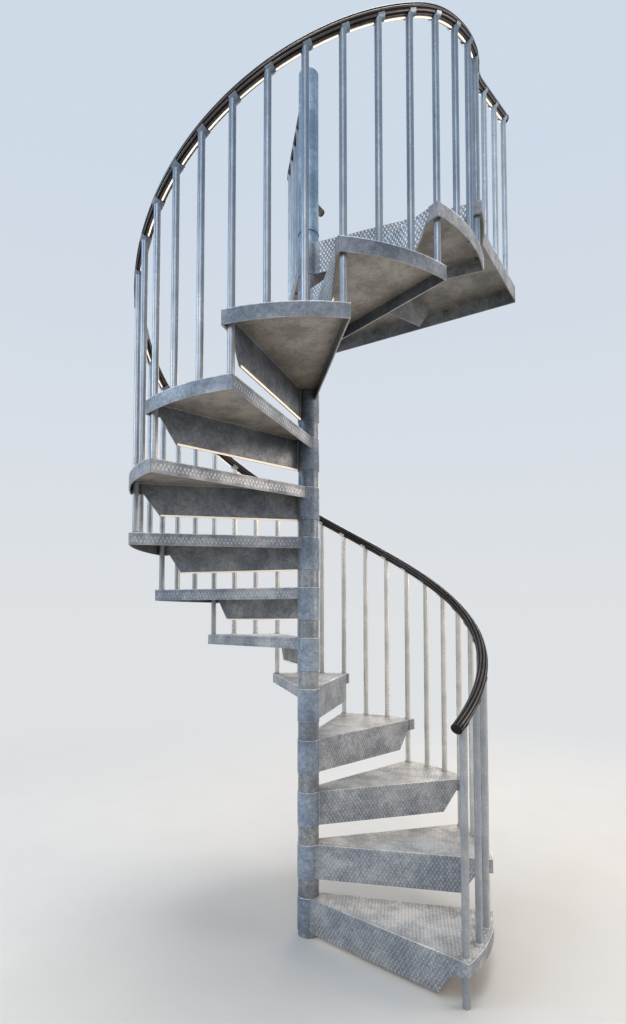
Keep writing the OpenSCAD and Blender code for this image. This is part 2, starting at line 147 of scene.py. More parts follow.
# Piles rings up from a disc: each is (height, radius)
def turned(rings, sides):
    bpy.ops.object.select_all(action="DESELECT")
    bpy.ops.mesh.primitive_circle_add(vertices=sides, radius=rings[0][1], fill_type="NGON",
                                      location=(0, 0, rings[0][0]))
    bpy.ops.object.transform_apply(location=True)
    bpy.ops.object.mode_set(mode="EDIT")
    bpy.ops.mesh.select_all(action="SELECT")
    for (z, r), (nextZ, nextR) in zip(rings, rings[1:]):
        bpy.ops.mesh.extrude_region_move(TRANSFORM_OT_translate={"value": (0, 0, nextZ - z)})
        bpy.ops.transform.resize(value=(nextR / r, nextR / r, 1), center_override=(0, 0, 0))
    bpy.ops.object.mode_set(mode="OBJECT")
    return clean(bpy.context.object)


# Copies of a model at each place, joined into one object at the origin
def copies(models):
    made = []
    for model, places in models:
        for where in places:
            copy = place(model.data.copy())
            copy.matrix_world = where
            made.append(copy)
        bpy.data.objects.remove(model)
    pick(made[0])
    for copy in made:
        copy.select_set(True)
    bpy.ops.object.join()
    bpy.ops.object.transform_apply(location=True, rotation=True, scale=True)
    return bpy.context.object


# Curves given as (points, radius of each, closed), bevelled round or with a profile
def curvePiece(name, lines, profile=None):
    curve = bpy.data.curves.new(name, "CURVE")
    curve.dimensions, curve.twist_mode, curve.use_fill_caps = "3D", "Z_UP", True
    if profile:
        curve.bevel_mode, curve.bevel_object = "OBJECT", profile
    else:
        curve.bevel_depth, curve.bevel_resolution = 1.0, 1
    for line, radii, closed in lines:
        spline = curve.splines.new("POLY")
        spline.points.add(len(line) - 1)
        for point, spot, r in zip(spline.points, line, radii):
            point.co, point.radius = (*spot, 1), r
        spline.use_cyclic_u = closed
    pick(place(curve))
    bpy.ops.object.convert(target="MESH")
    return bpy.context.object


# Node helpers
def add(tree, kind, inputs=None, **props):
    made = tree.nodes.new(kind)
    for key, value in props.items():
        setattr(made, key, value)
    for key, value in (inputs or {}).items():
        if isinstance(value, bpy.types.NodeSocket):
            tree.links.new(value, made.inputs[key])
        else:
            made.inputs[key].default_value = value
    return made


def maths(tree, operation, a, b=None, clamp=False):
    return add(tree, "ShaderNodeMath", {0: a} if b is None else {0: a, 1: b}, operation=operation,
               use_clamp=clamp).outputs[0]


def mottle(tree, place, scale, detail, roughness=0.5):
    return add(tree, "ShaderNodeTexNoise", {"Vector": place, "Scale": scale, "Detail": detail,
                                            "Roughness": roughness}).outputs["Fac"]


def swing(tree, value, gain):
    return maths(tree, "MULTIPLY", maths(tree, "SUBTRACT", value, 0.5), gain)


def ramp(tree, factor, stops):
    made = add(tree, "ShaderNodeValToRGB", {"Fac": factor})
    points = made.color_ramp.elements
    while len(points) < len(stops):
        points.new(0.5)
    for point, (place, colour) in zip(points, stops):
        point.position, point.color = place, (*colour, 1)
    return made.outputs["Color"]


def blend(tree, factor, a, b, how="MIX"):
    made = add(tree, "ShaderNodeMix", data_type="RGBA", blend_type=how)
    for key, value in ((0, factor), (6, a), (7, b)):
        if isinstance(value, bpy.types.NodeSocket):
            tree.links.new(value, made.inputs[key])
        else:
            made.inputs[key].default_value = value if key == 0 else (*value, 1)
    return made.outputs[2]


def group(name, inputs, outputs):
    tree = bpy.data.node_groups.new(name, "ShaderNodeTree")
    for key, value in inputs.items():
        socket = tree.interface.new_socket(name=key, in_out="INPUT", socket_type="NodeSocketFloat")
        socket.default_value = value
    for key in outputs:
        tree.interface.new_socket(name=key, in_out="OUTPUT", socket_type="NodeSocketFloat")
    return tree, tree.nodes.new("NodeGroupInput").outputs, tree.nodes.new("NodeGroupOutput").inputs


# Zinc crystals and clouds: Tone runs from dark to pale around 0.5, Grain is the fine relief
def spangleGroup():
    tree, given, out = group("zincSpangle", {"Size": 60.0, "Cloud": 6.0, "Clouding": 1.0, "Crystals": 0.12,
                                             "Fine": 0.3}, ["Tone", "Grain"])
    place = add(tree, "ShaderNodeTexCoord").outputs["Object"]
    warp = add(tree, "ShaderNodeTexNoise", {"Vector": place, "Scale": 45.0, "Detail": 3.0})
    bent = add(tree, "ShaderNodeVectorMath", {0: warp.outputs["Color"], "Scale": 0.03}, operation="SCALE")
    where = add(tree, "ShaderNodeVectorMath", {0: place, 1: bent.outputs[0]}, operation="ADD").outputs[0]
    crystal = add(tree, "ShaderNodeTexVoronoi", {"Vector": where, "Scale": given["Size"], "Smoothness": 0.6},
                  feature="SMOOTH_F1")
    crystal = add(tree, "ShaderNodeSeparateColor", {"Color": crystal.outputs["Color"]}).outputs[0]
    cloud = mottle(tree, where, given["Cloud"], 7.0, 0.66)
    fine = mottle(tree, place, 110.0, 5.0, 0.74)
    tone = maths(tree, "ADD", swing(tree, cloud, given["Clouding"]), swing(tree, crystal, given["Crystals"]))
    tone = maths(tree, "ADD", maths(tree, "ADD", tone, swing(tree, fine, given["Fine"])), 0.5)
    tree.links.new(tone, out["Tone"])
    tree.links.new(maths(tree, "ADD", maths(tree, "MULTIPLY", crystal, 0.2), fine), out["Grain"])
    return tree


# Painted edge highlights: how far a rounded normal turns from the face's own
def edgeGroup():
    tree, given, out = group("paintedEdgeHighlight", {"Radius": 0.0016}, ["Edge"])
    rounded = add(tree, "ShaderNodeBevel", {"Radius": given["Radius"]}, samples=4).outputs[0]
    flat = add(tree, "ShaderNodeNewGeometry").outputs["Normal"]
    turn = add(tree, "ShaderNodeVectorMath", {0: rounded, 1: flat}, operation="DOT_PRODUCT").outputs["Value"]
    place = add(tree, "ShaderNodeTexCoord").outputs["Object"]
    breakUp = mottle(tree, place, 90.0, 4.0)
    edge = maths(tree, "MULTIPLY", maths(tree, "SUBTRACT", 0.995, turn), 7.0, clamp=True)
    tree.links.new(maths(tree, "MULTIPLY", edge, maths(tree, "ADD", breakUp, 0.35), clamp=True), out["Edge"])
    return tree


# Which way a face looks: Up and Down are 1 on level faces
def facingGroup():
    tree, given, out = group("facing", {}, ["Up", "Down"])
    normal = add(tree, "ShaderNodeNewGeometry").outputs["Normal"]
    z = add(tree, "ShaderNodeSeparateXYZ", {0: normal}).outputs["Z"]
    tree.links.new(maths(tree, "SUBTRACT", maths(tree, "MULTIPLY", z, 2.0), 0.7, clamp=True), out["Up"])
    tree.links.new(maths(tree, "SUBTRACT", maths(tree, "MULTIPLY", z, -2.0), 0.5, clamp=True), out["Down"])
    return tree


# Height is z over 4 m, Front is y, Away the distance from the axis, Patch and Streaks are noise
def placeGroup():
    tree, given, out = group("placeMasks", {}, ["Height", "Front", "Away", "Patch", "Streaks"])
    place = add(tree, "ShaderNodeTexCoord").outputs["Object"]
    parts = add(tree, "ShaderNodeSeparateXYZ", {0: place}).outputs
    tree.links.new(maths(tree, "DIVIDE", parts["Z"], 4.0), out["Height"])
    tree.links.new(parts["Y"], out["Front"])
    flat = add(tree, "ShaderNodeVectorMath", {0: place, 1: (1, 1, 0)}, operation="MULTIPLY").outputs[0]
    away = add(tree, "ShaderNodeVectorMath", {0: flat}, operation="LENGTH").outputs["Value"]
    tree.links.new(away, out["Away"])
    tree.links.new(mottle(tree, place, 11.0, 4.0), out["Patch"])
    stretched = add(tree, "ShaderNodeMapping", {"Vector": place, "Scale": (34.0, 34.0, 1.4)}).outputs[0]
    tree.links.new(mottle(tree, stretched, 1.0, 5.0), out["Streaks"])
    return tree


# How open a spot is to its surroundings, low in deep recesses
def recessGroup():
    tree, given, out = group("recess", {"Distance": 0.16}, ["Open"])
    shade = add(tree, "ShaderNodeAmbientOcclusion", {"Distance": given["Distance"]}, samples=6).outputs["AO"]
    tree.links.new(shade, out["Open"])
    return tree


spangle, paintedEdgeHighlight, facing, placeMasks, recess = (spangleGroup(), edgeGroup(), facingGroup(), placeGroup(),
                                                 recessGroup())


def use(tree, groupTree, inputs=None):
    made = tree.nodes.new("ShaderNodeGroup")
    made.node_tree = groupTree
    for key, value in (inputs or {}).items():
        made.inputs[key].default_value = value
    return made.outputs


def shader(name):
    material = bpy.data.materials.new(name)
    material.use_nodes = True
    return material, material.node_tree, material.node_tree.nodes["Principled BSDF"]


# Galvanised steel: a little warmer low down, darker and bluer high up, which is painted light low down and
# painted shade high up
zincLook = {"dark": (0.165, 0.19, 0.23), "mid": (0.27, 0.292, 0.33), "pale": (0.42, 0.44, 0.465),
            "size": 80.0, "cloud": 8.0, "clouding": 1.0, "crystals": 0.16, "fine": 0.7, "metallic": 0.25,
            "rough": (0.42, 0.60), "edge": 0.6, "paintedHighlight": (0.66, 0.67, 0.68), "grain": 0.25, "streak": 0.0,
            "low": (1.03, 1.0, 0.97), "high": (0.37, 0.42, 0.475), "levels": (0.28, 0.66), "patches": 0.9}


def zinc(name, **changes):
    look = {**zincLook, **changes}
    material, tree, surface = shader(name)
    tones = use(tree, spangle, {"Size": look["size"], "Cloud": look["cloud"], "Clouding": look["clouding"],
                                "Crystals": look["crystals"], "Fine": look["fine"]})
    tone, spots = tones["Tone"], use(tree, placeMasks)
    if look["streak"]:
        tone = maths(tree, "ADD", tone, swing(tree, spots["Streaks"], look["streak"]))
    colour = ramp(tree, tone, [(0.30, look["dark"]), (0.50, look["mid"]), (0.72, look["pale"])])
    # Tint by height: painted warm light low down, painted shade darker and bluer high up
    tints = [("Height", list(zip(look["levels"], (look["low"], look["high"]))))]
    # Painted shade: near and far darken what stands near the front, towards -y
    if "far" in look:  # darker where it stands near the front, towards -y
        tints.append(("Front", [(0.10, look["near"]), (0.45, look["far"])]))
    if "hub" in look:  # the rings round the column match its tubes
        tints.append(("Away", [(0.048, look["hub"]), (0.053, (1, 1, 1))]))
    for mask, stops in tints:
        colour = blend(tree, 1.0, colour, ramp(tree, spots[mask], stops), "MULTIPLY")
    sides = use(tree, facing)
    patched = maths(tree, "ADD", tone, swing(tree, spots["Patch"], look["patches"]))
    # Painted light and shade by facing: top faces paler as painted light from above, partly worn bright;
    # under faces darker and warmer as painted shade with a painted reflection of the warm ground
    for key, way in (("top", "Up"), ("under", "Down")):
        if key in look:
            shade = ramp(tree, patched, [(0.32, [c * 0.60 for c in look[key]]), (0.66, look[key])])
            colour = blend(tree, maths(tree, "MULTIPLY", sides[way], 0.9), colour, shade)
    # Painted highlight: edges mixed towards a pale colour
    paintedHighlight = use(tree, paintedEdgeHighlight)["Edge"]
    colour = blend(tree, maths(tree, "MULTIPLY", paintedHighlight, look["edge"]), colour, look["paintedHighlight"])
    if "stain" in look:
        centre, reach = look["stain"]
        place = add(tree, "ShaderNodeTexCoord").outputs["Object"]
        away = add(tree, "ShaderNodeVectorMath", {0: place, 1: centre}, operation="DISTANCE").outputs["Value"]
        patch = mottle(tree, place, 70.0, 5.0)
        near = maths(tree, "SUBTRACT", 1.25, maths(tree, "DIVIDE", away, reach), clamp=True)
        rust = ramp(tree, maths(tree, "MULTIPLY", near, patch), [(0.30, (0, 0, 0)), (0.55, (0.8, 0.8, 0.8))])
        colour = blend(tree, rust, colour, (0.30, 0.12, 0.045))
    # Painted shade in recesses: each colour loses the share given where a spot is least open
    if "grime" in look:  # how much each colour loses in the deepest recesses
        deepest = [1 - c for c in look["grime"]]
        shade = ramp(tree, use(tree, recess)["Open"], [(0.15, deepest), (0.95, (1, 1, 1))])
        colour = blend(tree, 1.0, colour, shade, "MULTIPLY")
    tree.links.new(colour, surface.inputs["Base Color"])
    surface.inputs["Metallic"].default_value = look["metallic"]
    smooth, coarse = look["rough"]
    gloss = add(tree, "ShaderNodeMapRange", {"Value": tone, "From Min": 0.3, "From Max": 0.7,
                                             "To Min": coarse, "To Max": smooth})
    tree.links.new(gloss.outputs[0], surface.inputs["Roughness"])
    relief = add(tree, "ShaderNodeBump", {"Height": tones["Grain"], "Strength": look["grain"],
                                          "Distance": 0.0006})
    tree.links.new(relief.outputs[0], surface.inputs["Normal"])
    return material


# In these zincs low and high are painted light low down and painted shade high up, top is painted light from
# above on level faces, partly worn bright, under is painted shade with a painted reflection of the ground,
# and the recess share is painted shade
plateZinc = zinc("galvanisedPlate", top=(0.55, 0.53, 0.51), under=(0.46, 0.41, 0.35), clouding=1.35,
                 grime=(0.58, 0.64, 0.74), patches=0.6, hub=(0.80, 0.90, 1.0))
# The landing's copy of the plate zinc, lit and shaded apart from the treads: darker on top, darker and warmer
# beneath, warmer in recesses and paler high up, all painted light and shade
landingZinc = zinc("galvanisedLanding", top=(0.42, 0.435, 0.45), under=(0.26, 0.235, 0.20), clouding=1.5,
                   grime=(0.10, 0.20, 0.33), patches=0.6, hub=(0.66, 0.76, 0.86), high=(0.78, 0.77, 0.76))
tubeZinc = zinc("galvanisedColumn", dark=(0.12, 0.15, 0.19), mid=(0.20, 0.22, 0.25), pale=(0.36, 0.38, 0.395),
                clouding=1.3, streak=0.5, rough=(0.30, 0.46), metallic=0.35, low=(1.0, 0.95, 0.90),
                high=(0.51, 0.59, 0.68), levels=(0.25, 0.58), stain=((0.047, -0.006, 2.79), 0.042))
# The newel's copy of the column zinc, much bluer: painted blue sky light
newelZinc = zinc("galvanisedNewel", dark=(0.09, 0.155, 0.235), mid=(0.135, 0.22, 0.32),
                 pale=(0.27, 0.365, 0.46), clouding=1.3, streak=0.5, rough=(0.34, 0.52), metallic=0.4,
                 high=(1.0, 1.02, 1.04))
# Raised bars: paler than the plate, with paler tops, as painted light on the relief; the second copy for the
# upper treads and landing is paler still, as painted light
barZinc = zinc("raisedBars", dark=(0.25, 0.27, 0.295), mid=(0.37, 0.388, 0.41), pale=(0.56, 0.57, 0.58),
               top=(0.70, 0.68, 0.65), rough=(0.28, 0.42), edge=0.4, metallic=0.4, high=(0.86, 0.90, 0.94))
litBarZinc = zinc("litRaisedBars", dark=(0.40, 0.42, 0.44), mid=(0.58, 0.60, 0.62), pale=(0.78, 0.79, 0.80),
                   top=(0.72, 0.73, 0.73), rough=(0.28, 0.42), edge=0.4, high=(1.1, 1.12, 1.14))
# Rods: low is warm painted light on the lower rods, near is painted shade on the front ones
rodZinc = zinc("galvanisedRod", dark=(0.27, 0.285, 0.30), mid=(0.36, 0.37, 0.38), pale=(0.50, 0.50, 0.50),
               clouding=0.8, crystals=0.05, fine=0.4, streak=0.6, rough=(0.26, 0.38), metallic=0.45,
               edge=0.25, low=(1.75, 1.64, 1.48), high=(0.85, 0.97, 1.08), levels=(0.46, 0.72),
               near=(0.50, 0.54, 0.61), far=(1, 1, 1))
seamZinc = zinc("weldSeam", dark=(0.24, 0.26, 0.28), mid=(0.38, 0.39, 0.40), pale=(0.58, 0.59, 0.59),
                size=140.0, rough=(0.38, 0.56), grain=0.45)
# Folded edges: pale zinc as a painted highlight
paleFoldHighlightZinc = zinc("foldedEdge", dark=(0.40, 0.42, 0.44), mid=(0.62, 0.62, 0.63), pale=(0.84, 0.83, 0.82),
                rough=(0.28, 0.42), metallic=0.35, grain=0.15, fine=1.6, high=(0.72, 0.80, 0.88))
jointZinc = zinc("joint", dark=(0.05, 0.055, 0.06), mid=(0.09, 0.095, 0.10), pale=(0.16, 0.165, 0.17),
                 rough=(0.5, 0.7), edge=0.0)
nutZinc = zinc("platedNut", dark=(0.25, 0.26, 0.27), mid=(0.40, 0.41, 0.42), pale=(0.62, 0.62, 0.61),
               size=90.0, metallic=0.7, rough=(0.25, 0.42))


# Handrail cover: brown-black on its ribs, nearly black in its grooves as painted shade, and nearly black on
# its end caps
def coverMaterial(name, dark, mid, pale, rough, shine):
    material, tree, surface = shader(name)
    place = add(tree, "ShaderNodeTexCoord").outputs["Object"]
    cloud, fine = mottle(tree, place, 14.0, 6.0), mottle(tree, place, 380.0, 3.0)
    tone = maths(tree, "ADD", maths(tree, "MULTIPLY", cloud, 0.7), maths(tree, "MULTIPLY", fine, 0.3))
    colour = ramp(tree, tone, [(0.35, dark), (0.52, mid), (0.7, pale)])
    surface.inputs["Specular IOR Level"].default_value = shine
    tree.links.new(colour, surface.inputs["Base Color"])
    gloss = add(tree, "ShaderNodeMapRange", {"Value": cloud, "To Min": rough - 0.08, "To Max": rough + 0.1})
    tree.links.new(gloss.outputs[0], surface.inputs["Roughness"])
    relief = add(tree, "ShaderNodeBump", {"Height": fine, "Strength": 0.15, "Distance": 0.0004})
    tree.links.new(relief.outputs[0], surface.inputs["Normal"])
    return material


railCover = coverMaterial("ribbedCover", (0.030, 0.024, 0.023), (0.056, 0.045, 0.043), (0.105, 0.085, 0.078),
                          rough=0.22, shine=0.36)
railGrooveShade = coverMaterial("coverGrooveShade", (0.004, 0.004, 0.004), (0.008, 0.007, 0.007), (0.014, 0.012, 0.012),
                           rough=0.5, shine=0.06)
railCap = coverMaterial("coverEnd", (0.004, 0.004, 0.004), (0.008, 0.008, 0.008), (0.016, 0.015, 0.014),
                        rough=0.50, shine=0.20)


# Light strips: bright beneath, and dimmer on their sides by the share given
strip = {"deep": (1.0, 0.84, 0.65), "bright": (1.0, 0.88, 0.73), "glow": 0.98, "sides": 0.25, "rough": 0.5}


def lightMaterial(name):
    material, tree, surface = shader(name)
    place = add(tree, "ShaderNodeTexCoord").outputs["Object"]
    colour = ramp(tree, mottle(tree, place, 60.0, 2.0), [(0.3, strip["deep"]), (0.7, strip["bright"])])
    tree.links.new(colour, surface.inputs["Base Color"])
    shade = ramp(tree, use(tree, facing)["Down"], [(0.0, [strip["sides"]] * 3), (1.0, (1, 1, 1))])
    tree.links.new(blend(tree, 1.0, colour, shade, "MULTIPLY"), surface.inputs["Emission Color"])
    surface.inputs["Emission Strength"].default_value = strip["glow"]
    surface.inputs["Roughness"].default_value = strip["rough"]
    return material


stripLight = lightMaterial("warmLightStrip")
print("materials made")


def dress(names, material):
    for name in names:
        nodes[name].data.materials.clear()
        nodes[name].data.materials.append(material)


dress([f"tread_{k:02d}" for k in range(1, stair["treads"])], plateZinc)
dress([f"tread_{stair['treads']:02d}", "landing", "landing_rib"], landingZinc)
dress(["column_foot", "column_tube", "spacer_sleeves"], tubeZinc)
dress(["newel_sleeve", "newel_cap"], newelZinc)
dress(["first_baluster", "corner_balusters", "lower_balusters", "upper_balusters", "landing_balusters",
       "well_guard_balusters"], rodZinc)
dress(["corner_nuts"], nutZinc)
dress(["tread_light_strips", "handrail_light_strip"], stripLight)

# Raised bars of the checker plate, in rows across and down; sunk keeps their feet in the plate
bars = {"across": 0.0160, "down": 0.0125, "lean": 24.0, "long": 0.0066, "wide": 0.003105, "high": 0.0016,
        "sunk": 0.0002, "crown": 0.52, "edgeGap": 0.008, "hubGap": 0.066, "footGap": 0.026,
        "fieldLength": 0.74, "fieldWidth": 0.46, "litFrom": 12, "landingGap": 0.009, "frontGap": 0.007,
        "noseGap": 0.005, "frontFrom": 0.024, "rearFrom": 0.010, "rearTo": 0.030, "rearLow": 0.006}


# One bar, lying along Y: a hexagon stretched and drawn in at the top
def modelBar():
    bpy.ops.object.select_all(action="DESELECT")
    bpy.ops.mesh.primitive_cylinder_add(vertices=6, radius=1, depth=bars["high"] + bars["sunk"],
                                        location=(0, 0, (bars["high"] - bars["sunk"]) / 2))
    bpy.ops.object.transform_apply(location=True)
    bpy.ops.object.mode_set(mode="EDIT")
    bpy.ops.mesh.select_all(action="SELECT")
    bpy.ops.transform.resize(value=(bars["wide"], bars["long"], 1), center_override=(0, 0, 0))
    bpy.ops.mesh.select_all(action="DESELECT")
    bpy.ops.object.mode_set(mode="OBJECT")
    made = bpy.context.object
    for face in made.data.polygons:
        face.select = face.normal.z > 0.9
    bpy.ops.object.mode_set(mode="EDIT")
    bpy.ops.transform.resize(value=(bars["crown"], bars["crown"], 1), center_override=(0, 0, 0))
    bpy.ops.object.mode_set(mode="OBJECT")
    points = [v.co.copy() for v in made.data.vertices]
    outlines = [tuple(f.vertices) for f in made.data.polygons]
    bpy.data.objects.remove(made)
    return points, outlines


barPoints, barOutlines = modelBar()


def addBar(verts, faces, spot, along, across, up):
    start = len(verts)
    verts += [spot - across * p.x + along * p.y + up * p.z for p in barPoints]
    faces += [tuple(start + i for i in outline) for outline in barOutlines]


def barField(name, verts, faces, material):
    data = bpy.data.meshes.new(name)
    data.from_pydata(verts, [], faces)
    settle(place(data), name, material)


# Staggered rows that lean one way and the other by turns, where inside says that a bar may lie
def layBars(verts, faces, origin, u, v, spanU, spanV, inside):
    up = u.cross(v)
    for row in range(int(spanV / bars["down"]) + 1):
        turn = math.radians(90 + (bars["lean"] if row % 2 else -bars["lean"]))
        along = u * math.cos(turn) + v * math.sin(turn)
        for i in range(int(spanU / bars["across"]) + 1):
            s, t = (i + (0.5 if row % 2 else 1.0)) * bars["across"], (row + 0.6) * bars["down"]
            if inside(s, t):
                addBar(verts, faces, origin + u * s + v * t, along, up.cross(along), up)


def side(point, start, end):
    d = end - start
    return (d.x * (point.y - start.y) - d.y * (point.x - start.x)) / d.to_2d().length


def noseLine(angle):
    return at(hubReach, angle) + at(tread["edgeSet"], angle - 90), at(stair["radius"], angle)


# Bars on a front flange, which gets shallower towards its outer end
def frontBars(verts, faces, angle):
    noseHub, noseRim = noseLine(angle)
    run, gap = (noseRim - noseHub).length, bars["frontGap"]
    deep = run - tread["shallowRun"] - tread["slantRun"]

    def inside(s, t):
        limit = tread["depth"] - max(0, s - deep) / tread["slantRun"] * (tread["depth"] - tread["rimDepth"])
        return bars["frontFrom"] < s < run - tread["lugRun"] - gap and bars["noseGap"] < t < limit - gap

    layBars(verts, faces, noseHub, (noseRim - noseHub) / run, -rising, run, tread["depth"], inside)


def treadBars(k):
    verts, faces, gap = [], [], bars["edgeGap"]
    noseHub, noseRim = noseLine(0)
    rearHub = at(hubReach, tread["span"]) + at(tread["edgeSet"], tread["span"] + 90)
    rearRim = at(stair["radius"], tread["span"])
    corners = [at(posts["radius"], stair["cornerSet"] + i * stair["turn"] / 3) for i in range(4)]
    u = (noseRim - noseHub).normalized()

    def onTop(s, t):
        p = noseHub + u * s + rising.cross(u) * t
        return (side(p, noseHub, noseRim) > gap and side(p, rearHub, rearRim) < -gap
                and bars["hubGap"] < p.length < stair["radius"] - gap
                and all((p - c).length > bars["footGap"] for c in corners))

    layBars(verts, faces, noseHub, u, rising.cross(u), bars["fieldLength"], bars["fieldWidth"], onTop)
    frontBars(verts, faces, 0)
    length = (rearRim - rearHub).length
    layBars(verts, faces, rearRim, (rearHub - rearRim) / length, -rising, length, tread["rimDepth"],
            lambda s, t: (bars["rearFrom"] < s < length - bars["rearTo"]
                          and gap < t < tread["rimDepth"] - bars["rearLow"]))
    # From the tread given on, the bars take the paler copy: painted light
    material = litBarZinc if k >= bars["litFrom"] else barZinc
    barField(f"checkerBars_{k:02d}", [treadPlace(k) @ p for p in verts], faces, material)


for k in range(1, stair["treads"] + 1):
    treadBars(k)
print("tread bars laid")


def landingBars():
    verts, faces, gap = [], [], bars["landingGap"]
    noseHub, noseRim = noseLine(stair["landingAngle"])
    first = stair["landingAngle"] + stair["cornerSet"]
    footings = [at(posts["radius"], first), at(posts["radius"], first + stair["turn"] / 3)]
    footings += sidePosts() + guardPosts()
    low, high = Vector((-landing["left"], -0.06, 0)), Vector((landing["right"], landing["reach"], 0))

    def onTop(s, t):
        p = low + Vector((s, t, 0))
        return (side(p, noseHub, noseRim) > gap and side(p, wellHub, cornerC) < -gap
                and p.length > bars["hubGap"]
                and (p.length < stair["radius"] - gap or p.y > cornerK.y)
                and low.x + gap < p.x < high.x - gap and p.y < high.y - gap
                and all((p - c).length > bars["footGap"] for c in footings))

    layBars(verts, faces, low, Vector((1, 0, 0)), Vector((0, 1, 0)), high.x - low.x, high.y - low.y, onTop)
    frontBars(verts, faces, stair["landingAngle"])
    barField("checkerBars_landing", [p + rising * landingZ for p in verts], faces, litBarZinc)


landingBars()
print("landing bars laid")

# Handrail: a ribbed cover swept along the rail's line, in place of the plain solids
cover = {"outer": 0.0209, "groove": 0.0030, "ribs": 10, "grooveFrom": 0.0008, "points": 80, "flatAt": -0.0200,
         "hollow": 1.4, "turns": 260, "bends": 14, "straights": 8, "guardStart": 0.034, "capSides": 48}


def bend(start, via, end, steps):
    shares = [(i + 1) / steps for i in range(steps)]
    return [start * (1 - t) ** 2 + via * 2 * t * (1 - t) + end * t * t for t in shares]


def railPath():
    meet = Vector((cornerK.x - railInset, 0, 0))
    meet.y = math.sqrt(railRadius ** 2 - meet.x ** 2)
    first = firstAngle + stair["cornerSet"] - math.degrees(rail["overhang"] / railRadius)
    last = math.degrees(math.atan2(meet.y, meet.x)) - rail["bendAngle"]
    line = []
    for i in range(cover["turns"] + 1):
        a = first + i * (last - first) / cover["turns"]
        line.append(at(railRadius, a) + rising * railZ(a))
    climb = rail["climbShare"] * railClimb * 180 / (math.pi * railRadius)
    end = cornerK.y + posts["firstSide"] + (posts["sides"] - 1) * posts["sideGap"] + rail["tail"]
    plan = bend(at(railRadius, last), meet, meet + Vector((0, rail["bendRun"], 0)), cover["bends"])
    steps = cover["straights"]
    plan += [plan[-1] + Vector((0, (end - plan[-1].y) * (i + 1) / steps, 0)) for i in range(steps)]
    before, z = at(railRadius, last), line[-1].z
    for point in plan:
        z += climb * (point - before).length
        before = point
        line.append(point + rising * z)
    return line


def guardPath():
    corner, run = wellCorner(railInset), posts["guardGap"] / 3
    start = wellHub + guardIn * railInset
    start += guardDir * (cover["guardStart"] - start.dot(guardDir))
    plan = [start] + [start.lerp(corner - guardDir * run, (i + 1) / 6) for i in range(6)]
    plan += bend(corner - guardDir * run, corner, corner + Vector((0, run, 0)), cover["bends"])
    end = landing["reach"] - rail["guardEnd"]
    plan += [Vector((corner.x, corner.y + run + (end - corner.y - run) * (i + 1) / 4, 0)) for i in range(4)]
    return [p + rising * (landingZ + rail["guardHeight"]) for p in plan]


def ribbedOutline():
    outline = []
    for a in (2 * math.pi * i / cover["points"] for i in range(cover["points"])):
        r = cover["outer"] - cover["groove"] * (1 - abs(math.cos(cover["ribs"] / 2 * a))) ** cover["hollow"]
        outline.append((math.cos(a) * r, max(math.sin(a) * r, cover["flatAt"])))
    return outline


def sweep(name, line):
    profile = bpy.data.curves.new("ribbedProfile", "CURVE")
    profile.dimensions = "2D"
    spline = profile.splines.new("POLY")
    spline.points.add(cover["points"] - 1)
    for point, (a, b) in zip(spline.points, ribbedOutline()):
        point.co = (a, b, 0, 1)
    spline.use_cyclic_u = True
    profile = place(profile)
    made = curvePiece(name, [(line, [1.0] * len(line), False)], profile)
    bpy.data.objects.remove(profile)
    settle(made, name, railCover, smooth=True)
    # The grooves take the nearly black painted shade
    made.data.materials.append(railGrooveShade)
    middles = kdtree.KDTree(len(line))
    for i, point in enumerate(line):
        middles.insert(point, i)
    middles.balance()
    for face in made.data.polygons:  # the grooves are the faces nearer the middle
        i = middles.find(face.center)[1]
        ahead = (line[min(i + 1, len(line) - 1)] - line[max(i - 1, 0)]).normalized()
        away = face.center - line[i]
        away = (away - ahead * away.dot(ahead)).length
        face.material_index = int(len(face.vertices) == 4 and away < cover["outer"] - cover["grooveFrom"])
    return clean(made)


railLine, guardLine = railPath(), guardPath()
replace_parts(sweep("ribbedHandrail", railLine), *[f"handrail_{i}" for i in range(1, 7)])
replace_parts(sweep("ribbedGuardRail", guardLine), "well_guard_rail")

# Domed end caps with a lip: distance along the axis and radius
capRings = ((-0.004, 0.0212), (0.0004, 0.0214), (0.0018, 0.0208), (0.0020, 0.0188), (0.0030, 0.0180),
            (0.0046, 0.0145), (0.0058, 0.0085), (0.0062, 0.0030))


def endCap(name, point, ahead):
    where = Matrix.Translation(point) @ ahead.to_track_quat("Z", "Y").to_matrix().to_4x4()
    made = copies([(turned(capRings, cover["capSides"]), [where])])
    settle(made, name, railCap, smooth=True)


endCap("railEndLow", railLine[0], railLine[0] - railLine[1])
endCap("railEndHigh", railLine[-1], railLine[-1] - railLine[-2])
endCap("guardRailEnd", guardLine[-1], guardLine[-1] - guardLine[-2])
print("rails swept")


# A line of weld or bead: its radius wavers along it
def wavered(line, radius, wave=0.0, closed=False):
    return line, [radius * (1 + wave * (0.5 if i % 2 else -0.5) + 1.2 * wave * noise.noise(point * 120))
                  for i, point in enumerate(line)], closed


def straight(start, end, pitch=0.0035):
    steps = max(1, int((end - start).length / pitch))
    return [start.lerp(end, i / steps) for i in range(steps + 1)]


def arc(radius, first, last, z, steps=28):
    return [at(radius, first + (last - first) * i / steps) + rising * z for i in range(steps + 1)]


def circle(radius, z, steps=48):
    return [at(radius, 360 * i / steps) + rising * z for i in range(steps)]


